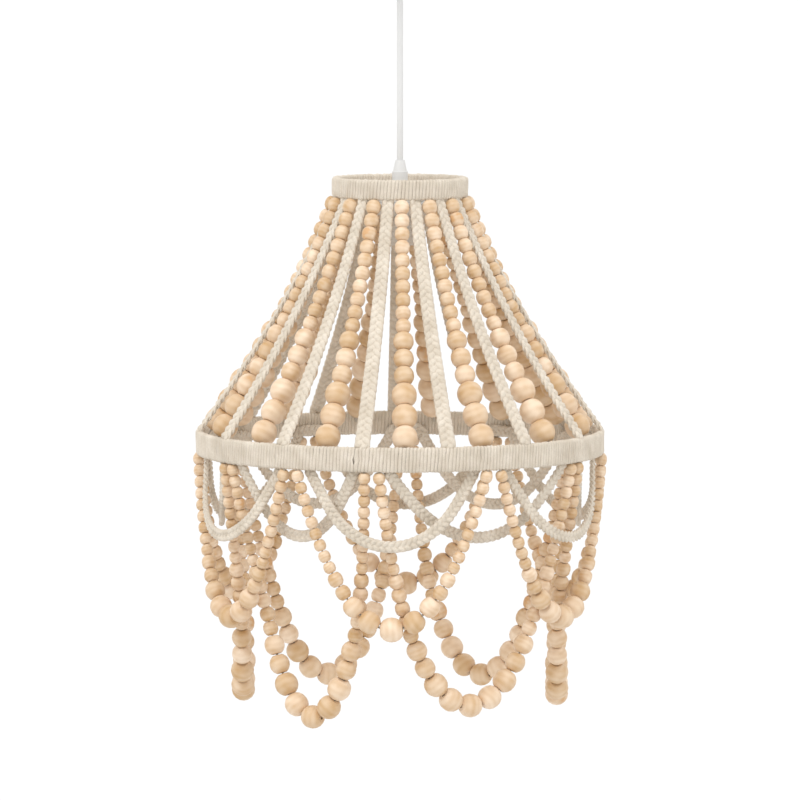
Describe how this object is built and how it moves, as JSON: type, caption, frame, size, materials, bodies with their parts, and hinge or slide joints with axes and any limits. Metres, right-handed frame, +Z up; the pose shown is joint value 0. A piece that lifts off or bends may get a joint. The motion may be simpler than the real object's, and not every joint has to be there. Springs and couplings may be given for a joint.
{
  "type": "beaded chandelier",
  "caption": "Hanging lamp shade of wooden bead strands and cotton braid on two bound hoops, with bead swags below, on a short cable from a ceiling cup.",
  "frame": {"origin": "centre of the ceiling face, on top of the strap that is screwed to the ceiling", "axes": "+Z up, out of the ceiling face; the front of the lamp is -Y and its right side is +X"},
  "size_m": [0.405, 0.4, 0.756],
  "materials": {
    "bead_wood": "turned and sanded, unvarnished pale wood",
    "cotton_braid": "braided off-white cotton",
    "cotton_binding": "close-wound off-white cotton cord",
    "hoop_steel": "plain strip steel",
    "spider_enamel": "white powder coat",
    "holder_plastic": "moulded white thermoset",
    "grip_plastic": "moulded white nylon",
    "cable_sheath": "round white PVC sheath",
    "cup_enamel": "white enamel on spun steel",
    "strap_steel": "zinc-plated strip",
    "terminal_plastic": "moulded white polyamide"
  },
  "bodies": {
    "ceiling": {"ceiling_cup": "cup_enamel", "ceiling_strap": "strap_steel", "terminal_block": "terminal_plastic", "ceiling_grip": "grip_plastic"},
    "cable": {"pendant_cable": "cable_sheath"},
    "shade": {"cord_grip": "grip_plastic", "lamp_holder_cap": "holder_plastic", "lamp_holder_body": "holder_plastic", "shade_ring": "holder_plastic", "spider": "spider_enamel", "top_hoop_band": "hoop_steel", "top_hoop_binding": "cotton_binding", "mid_hoop_band": "hoop_steel", "mid_hoop_binding": "cotton_binding", "outer_festoon": "cotton_braid", "inner_festoon": "cotton_braid", "bead_strand_01": "bead_wood", "bead_strand_02": "bead_wood", "bead_strand_03": "bead_wood", "bead_strand_04": "bead_wood", "bead_strand_05": "bead_wood", "bead_strand_06": "bead_wood", "bead_strand_07": "bead_wood", "bead_strand_08": "bead_wood", "bead_strand_09": "bead_wood", "bead_strand_10": "bead_wood", "bead_strand_11": "bead_wood", "bead_strand_12": "bead_wood", "bead_strand_13": "bead_wood", "bead_strand_14": "bead_wood", "bead_strand_15": "bead_wood", "braid_01": "cotton_braid", "braid_02": "cotton_braid", "braid_03": "cotton_braid", "braid_04": "cotton_braid", "braid_05": "cotton_braid", "braid_06": "cotton_braid", "braid_07": "cotton_braid", "braid_08": "cotton_braid", "braid_09": "cotton_braid", "braid_10": "cotton_braid", "braid_11": "cotton_braid", "braid_12": "cotton_braid", "braid_13": "cotton_braid", "braid_14": "cotton_braid", "braid_15": "cotton_braid"},
    "outer_swag_1": {"outer_swag_1": "bead_wood"},
    "outer_swag_2": {"outer_swag_2": "bead_wood"},
    "outer_swag_3": {"outer_swag_3": "bead_wood"},
    "outer_swag_4": {"outer_swag_4": "bead_wood"},
    "outer_swag_5": {"outer_swag_5": "bead_wood"},
    "outer_swag_6": {"outer_swag_6": "bead_wood"},
    "inner_swag_1": {"inner_swag_1": "bead_wood"},
    "inner_swag_2": {"inner_swag_2": "bead_wood"},
    "inner_swag_3": {"inner_swag_3": "bead_wood"},
    "inner_swag_4": {"inner_swag_4": "bead_wood"},
    "inner_swag_5": {"inner_swag_5": "bead_wood"},
    "inner_swag_6": {"inner_swag_6": "bead_wood"}
  },
  "joints": [
    {"name": "cable_swing", "type": "hinge", "parent": "ceiling", "child": "cable", "pos_m": [0, 0, -0.038], "axis": [1, 0, 0], "range_deg": [-8, 8]},
    {"name": "shade_swing", "type": "hinge", "parent": "cable", "child": "shade", "pos_m": [0, 0, -0.219], "axis": [0, 1, 0], "range_deg": [-8, 8]},
    {"name": "outer_swag_1_swing", "type": "hinge", "parent": "shade", "child": "outer_swag_1", "pos_m": [-0.00764, -0.17497, -0.5029], "axis": [-0.999, 0.0436, 0], "range_deg": [0, 12]},
    {"name": "outer_swag_2_swing", "type": "hinge", "parent": "shade", "child": "outer_swag_2", "pos_m": [0.14635, -0.09323, -0.5029], "axis": [-0.5373, -0.8434, 0], "range_deg": [0, 12]},
    {"name": "outer_swag_3_swing", "type": "hinge", "parent": "shade", "child": "outer_swag_3", "pos_m": [0.15393, 0.08185, -0.5029], "axis": [0.4695, -0.8829, 0], "range_deg": [0, 12]},
    {"name": "outer_swag_4_swing", "type": "hinge", "parent": "shade", "child": "outer_swag_4", "pos_m": [0.00608, 0.17423, -0.5029], "axis": [0.9994, -0.0349, 0], "range_deg": [0, 12]},
    {"name": "outer_swag_5_swing", "type": "hinge", "parent": "shade", "child": "outer_swag_5", "pos_m": [-0.14785, 0.09238, -0.5029], "axis": [0.5299, 0.848, 0], "range_deg": [0, 12]},
    {"name": "outer_swag_6_swing", "type": "hinge", "parent": "shade", "child": "outer_swag_6", "pos_m": [-0.15393, -0.08185, -0.5029], "axis": [-0.4695, 0.8829, 0], "range_deg": [0, 12]},
    {"name": "inner_swag_1_swing", "type": "hinge", "parent": "shade", "child": "inner_swag_1", "pos_m": [0.07256, -0.14878, -0.5029], "axis": [0.8988, 0.4384, 0], "range_deg": [0, 10]},
    {"name": "inner_swag_2_swing", "type": "hinge", "parent": "shade", "child": "inner_swag_2", "pos_m": [0.17389, -0.00303, -0.5029], "axis": [0.0175, 0.9998, 0], "range_deg": [0, 10]},
    {"name": "inner_swag_3_swing", "type": "hinge", "parent": "shade", "child": "inner_swag_3", "pos_m": [0.09133, 0.14616, -0.5029], "axis": [-0.848, 0.5299, 0], "range_deg": [0, 10]},
    {"name": "inner_swag_4_swing", "type": "hinge", "parent": "shade", "child": "inner_swag_4", "pos_m": [-0.08091, 0.15217, -0.5029], "axis": [-0.8829, -0.4695, 0], "range_deg": [0, 10]},
    {"name": "inner_swag_5_swing", "type": "hinge", "parent": "shade", "child": "inner_swag_5", "pos_m": [-0.16904, 0, -0.5029], "axis": [0, -1, 0], "range_deg": [0, 10]},
    {"name": "inner_swag_6_swing", "type": "hinge", "parent": "shade", "child": "inner_swag_6", "pos_m": [-0.09786, -0.15069, -0.5029], "axis": [0.8387, -0.5446, 0], "range_deg": [0, 10]}
  ]
}
